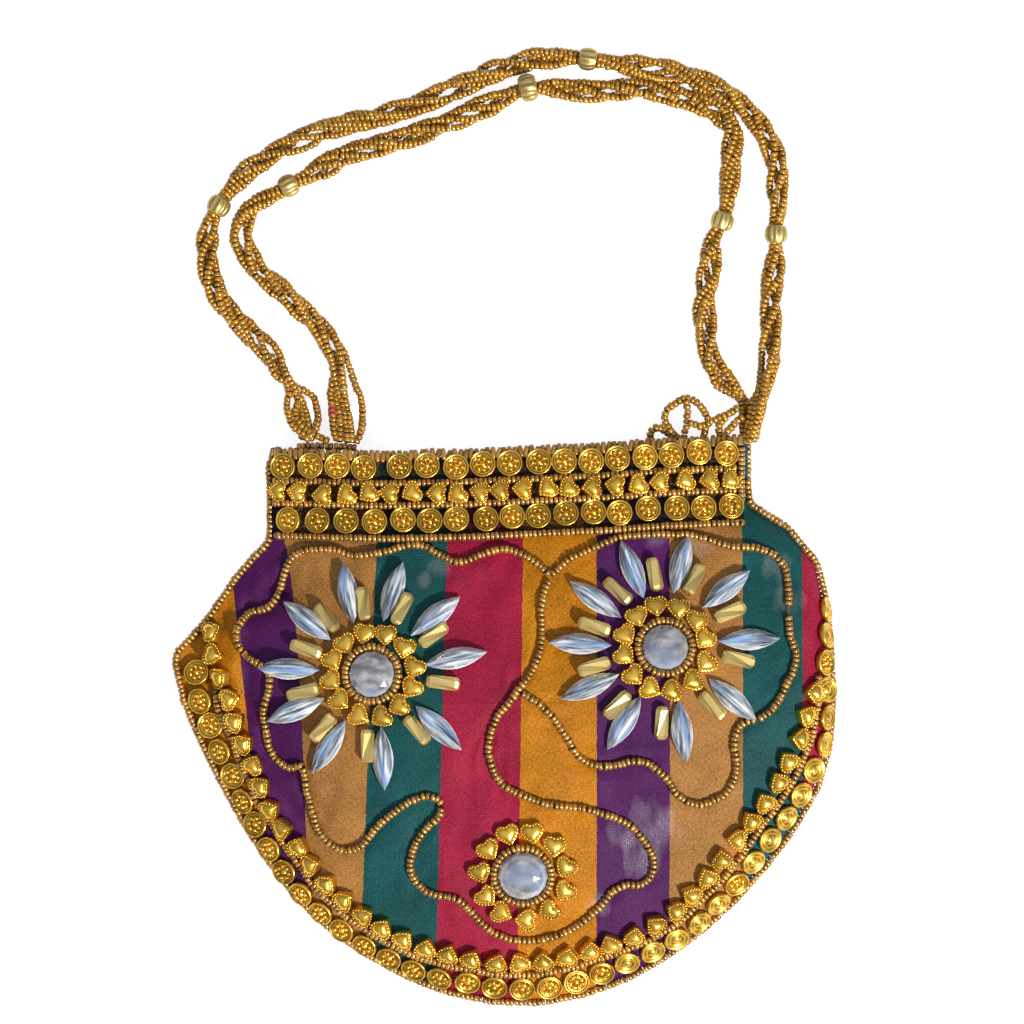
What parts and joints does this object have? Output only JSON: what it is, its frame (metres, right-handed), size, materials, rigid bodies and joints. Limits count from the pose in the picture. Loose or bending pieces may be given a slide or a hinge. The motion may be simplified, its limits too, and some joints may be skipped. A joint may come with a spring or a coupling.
{
  "type": "potli bag",
  "caption": "Puffed striped silk pouch with a stiff beaded mouth band, crystal flowers, a bead border and two bead straps, lying on its back.",
  "frame": {"origin": "on the flat of the back panel, below the middle of the pouch, on the plane that the bag lies on", "axes": "+Z out of the front panel, +Y from the base towards the mouth, +X to the right as seen from the front"},
  "size_m": [0.2, 0.2875, 0.0317],
  "materials": {
    "striped_silk": "slubbed silk woven in mustard, purple, tan, teal and crimson stripes",
    "band_backing": "stiffened cloth band under the beads",
    "pressed_gold": "bright gold plated pressed beads",
    "bronze_seed_beads": "lustrous bronze gold seed beads on thread",
    "satin_gold": "satin antique gold",
    "petal_crystal": "faceted clear crystal, foiled behind",
    "round_crystal": "faceted round crystal, foiled behind"
  },
  "bodies": {
    "root": {"back_band": "band_backing", "back_panel": "striped_silk", "band_disc_row_bottom": "pressed_gold", "band_disc_row_top": "pressed_gold", "band_edging_beads": "bronze_seed_beads", "band_heart_row": "pressed_gold", "band_seed_border": "bronze_seed_beads", "band_seed_row_lower": "bronze_seed_beads", "band_seed_row_upper": "bronze_seed_beads", "closing_loop": "bronze_seed_beads", "closing_strand": "bronze_seed_beads", "flower_left_heart_ring": "pressed_gold", "flower_left_petal_1": "petal_crystal", "flower_left_petal_10": "petal_crystal", "flower_left_petal_2": "petal_crystal", "flower_left_petal_3": "petal_crystal", "flower_left_petal_4": "petal_crystal", "flower_left_petal_5": "petal_crystal", "flower_left_petal_6": "petal_crystal", "flower_left_petal_7": "petal_crystal", "flower_left_petal_8": "petal_crystal", "flower_left_petal_9": "petal_crystal", "flower_left_seed_ring": "bronze_seed_beads", "flower_left_stone": "round_crystal", "flower_left_tube_beads": "satin_gold", "flower_right_heart_ring": "pressed_gold", "flower_right_petal_1": "petal_crystal", "flower_right_petal_10": "petal_crystal", "flower_right_petal_2": "petal_crystal", "flower_right_petal_3": "petal_crystal", "flower_right_petal_4": "petal_crystal", "flower_right_petal_5": "petal_crystal", "flower_right_petal_6": "petal_crystal", "flower_right_petal_7": "petal_crystal", "flower_right_petal_8": "petal_crystal", "flower_right_petal_9": "petal_crystal", "flower_right_seed_ring": "bronze_seed_beads", "flower_right_stone": "round_crystal", "flower_right_tube_beads": "satin_gold", "flower_small_heart_ring": "pressed_gold", "flower_small_seed_ring": "bronze_seed_beads", "flower_small_stone": "round_crystal", "front_band": "band_backing", "front_panel": "striped_silk", "rim_disc_row": "pressed_gold", "rim_heart_row": "pressed_gold", "rim_seed_row_inner": "bronze_seed_beads", "rim_seed_row_outer": "bronze_seed_beads", "scroll_inner": "bronze_seed_beads", "scroll_lower": "bronze_seed_beads", "scroll_right": "bronze_seed_beads", "scroll_upper": "bronze_seed_beads", "strap_a": "bronze_seed_beads", "strap_a_bead_1": "satin_gold", "strap_a_bead_2": "satin_gold", "strap_a_bead_3": "satin_gold", "strap_b": "bronze_seed_beads", "strap_b_bead_1": "satin_gold", "strap_b_bead_2": "satin_gold", "strap_shared_bead": "satin_gold"}
  },
  "joints": []
}
